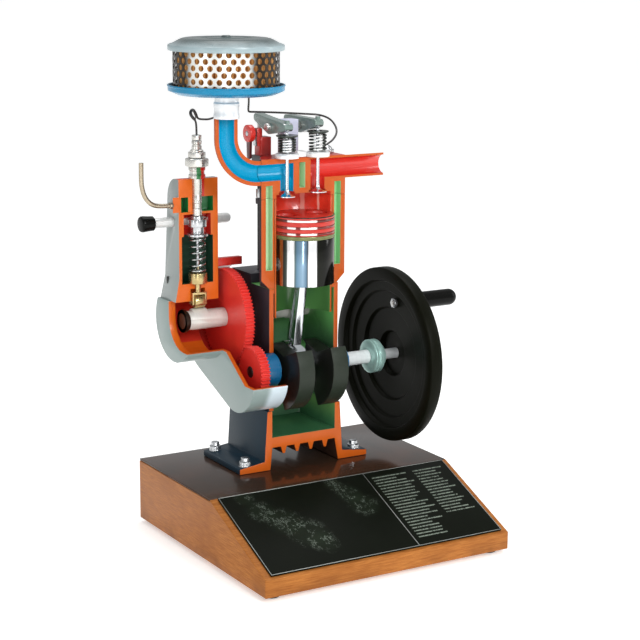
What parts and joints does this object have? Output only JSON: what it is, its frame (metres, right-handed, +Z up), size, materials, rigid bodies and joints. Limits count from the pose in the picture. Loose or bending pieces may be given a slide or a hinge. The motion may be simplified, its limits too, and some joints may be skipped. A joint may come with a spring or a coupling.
{
  "type": "four stroke engine model",
  "caption": "Hand-cranked cutaway teaching model of a single-cylinder four-stroke engine with injection pump, air filter and flywheel on a sloping wooden plinth.",
  "frame": {"origin": "middle of the bounding box's bottom face, under the plinth's feet", "axes": "+Z up, +X along the crankshaft towards the flywheel, -Y towards the section plane's open side and the sloping panel"},
  "size_m": [0.4202, 0.357, 0.642],
  "materials": {
    "wood_brown": "satin varnish",
    "laminate_brown": "glossy dark brown laminate",
    "panel_black": "glossy black",
    "stand_paint": "blue-grey enamel with orange section faces",
    "case_paint": "dark green enamel with orange section faces",
    "section_orange": "orange enamel on the section faces",
    "liner_red": "red enamel",
    "duct_blue": "bright blue enamel",
    "bearing_blue": "blue enamel",
    "gear_red": "red enamel",
    "cover_grey": "grey-green enamel",
    "crank_iron": "dark rough cast",
    "flywheel_black": "glossy black enamel",
    "grip_black": "glossy black",
    "steel": "bright machined",
    "alloy": "bright turned",
    "chrome": "polished",
    "zinc": "green-tinted zinc",
    "brass": "bright turned",
    "ring_olive": "olive",
    "rocker_grey": "grey-green satin",
    "pedestal_grey": "satin grey",
    "lever_red": "red enamel",
    "lid_grey": "metallic grey",
    "paper_gold": "golden brown filter paper"
  },
  "bodies": {
    "frame": {"base_plinth": "wood_brown", "base_top_board": "laminate_brown", "info_panel": "panel_black", "stand": "stand_paint", "crankcase": "case_paint", "cylinder_block": "section_orange", "cylinder_liner": "liner_red", "cylinder_head": "section_orange", "intake_spring_seat": "alloy", "exhaust_spring_seat": "alloy", "intake_duct": "section_orange", "intake_neck": "alloy", "filter_tray": "duct_blue", "filter_element": "paper_gold", "filter_screen": "steel", "filter_lid": "lid_grey", "left_bearing": "bearing_blue", "right_bearing": "bearing_blue", "gear_case": "gear_red", "timing_cover": "cover_grey", "pump_housing": "section_orange", "pump_barrel": "steel", "pump_union": "steel", "injection_pipe": "steel", "fuel_inlet_pipe": "steel", "rocker_stand": "pedestal_grey", "injector": "steel", "intake_spring": "steel", "exhaust_spring": "steel", "pump_spring": "steel"},
    "crankshaft": {"crank_web_left": "crank_iron", "crank_web_right": "crank_iron", "crank_gear": "gear_red", "hub_collar": "zinc", "flywheel": "flywheel_black", "handle_pin": "steel"},
    "grip": {"handle_grip": "grip_black"},
    "camshaft": {"camshaft": "steel", "cam_gear": "gear_red"},
    "piston": {"piston": "chrome", "compression_ring_1": "chrome", "compression_ring_2": "chrome", "compression_ring_3": "chrome", "oil_ring": "ring_olive", "wrist_pin": "steel"},
    "rod": {"connecting_rod": "chrome", "rod_cap": "chrome", "crankpin": "steel"},
    "intake_valve": {"intake_valve": "chrome"},
    "exhaust_valve": {"exhaust_valve": "chrome"},
    "intake_rocker": {"intake_rocker": "rocker_grey"},
    "exhaust_rocker": {"exhaust_rocker": "rocker_grey"},
    "intake_pushrod": {"intake_pushrod": "steel"},
    "exhaust_pushrod": {"exhaust_pushrod": "steel"},
    "lever": {"decompression_lever": "lever_red"},
    "tappet": {"pump_tappet": "brass", "pump_plunger": "steel"},
    "roller": {"pump_roller": "brass"},
    "sleeve": {"control_sleeve": "steel"},
    "control": {"control_rod": "steel"}
  },
  "joints": [
    {"name": "crank_spin", "type": "hinge", "parent": "frame", "child": "crankshaft", "pos_m": [-0.01192, 0.03, 0.2208], "axis": [1, 0, 0], "continuous": true},
    {"name": "grip_spin", "type": "hinge", "parent": "crankshaft", "child": "grip", "pos_m": [0.13808, 0.0155, 0.2918], "axis": [1, 0, 0], "continuous": true},
    {"name": "cam_spin", "type": "hinge", "parent": "frame", "child": "camshaft", "pos_m": [-0.09292, 0.1015, 0.27909], "axis": [1, 0, 0], "continuous": true},
    {"name": "piston_slide", "type": "slide", "parent": "frame", "child": "piston", "axis": [0, 0, 1], "range_m": [-0.0359, 0.022]},
    {"name": "rod_swing", "type": "hinge", "parent": "piston", "child": "rod", "pos_m": [-0.01593, 0.03, 0.35578], "axis": [1, 0, 0], "range_deg": [-25.38, 0.8]},
    {"name": "intake_rock", "type": "hinge", "parent": "frame", "child": "intake_rocker", "pos_m": [-0.04043, 0.066, 0.5245], "axis": [1, 0, 0], "range_deg": [-5.64, 4.03]},
    {"name": "intake_valve_slide", "type": "slide", "parent": "frame", "child": "intake_valve", "axis": [0, 0, 1], "range_m": [-0.0025, 0.0035], "deforming": ["intake_spring"]},
    {"name": "intake_pushrod_slide", "type": "slide", "parent": "frame", "child": "intake_pushrod", "axis": [0, 0, 1], "range_m": [-0.0035, 0.0025]},
    {"name": "exhaust_rock", "type": "hinge", "parent": "frame", "child": "exhaust_rocker", "pos_m": [0.00407, 0.066, 0.5245], "axis": [1, 0, 0], "range_deg": [0, 9.68]},
    {"name": "exhaust_valve_slide", "type": "slide", "parent": "frame", "child": "exhaust_valve", "axis": [0, 0, 1], "range_m": [-0.006, 0], "deforming": ["exhaust_spring"]},
    {"name": "exhaust_pushrod_slide", "type": "slide", "parent": "frame", "child": "exhaust_pushrod", "axis": [0, 0, 1], "range_m": [0, 0.006]},
    {"name": "lever_swing", "type": "hinge", "parent": "frame", "child": "lever", "pos_m": [-0.06342, 0.086, 0.5155], "axis": [1, 0, 0], "range_deg": [-60, 60]},
    {"name": "tappet_slide", "type": "slide", "parent": "frame", "child": "tappet", "axis": [0, 0, 1], "range_m": [0, 0.004], "deforming": ["pump_spring"]},
    {"name": "roller_spin", "type": "hinge", "parent": "tappet", "child": "roller", "pos_m": [-0.12993, 0.1015, 0.30299], "axis": [1, 0, 0], "continuous": true},
    {"name": "control_slide", "type": "slide", "parent": "frame", "child": "control", "axis": [1, 0, 0], "range_m": [-0.005, 0.005]},
    {"name": "sleeve_turn", "type": "hinge", "parent": "frame", "child": "sleeve", "pos_m": [-0.12993, 0.1015, 0.3875], "axis": [0, 0, 1], "range_deg": [-23, 23]}
  ],
  "couplings": [
    {"joint": "cam_spin", "follows": "crank_spin", "ratio": -0.5},
    {"joint": "intake_valve_slide", "follows": "intake_rock", "m_per_rad": -0.0355},
    {"joint": "intake_pushrod_slide", "follows": "intake_rock", "m_per_rad": 0.0355},
    {"joint": "exhaust_valve_slide", "follows": "exhaust_rock", "m_per_rad": -0.0355},
    {"joint": "exhaust_pushrod_slide", "follows": "exhaust_rock", "m_per_rad": 0.0355},
    {"joint": "sleeve_turn", "follows": "control_slide", "rad_per_m": -80}
  ]
}
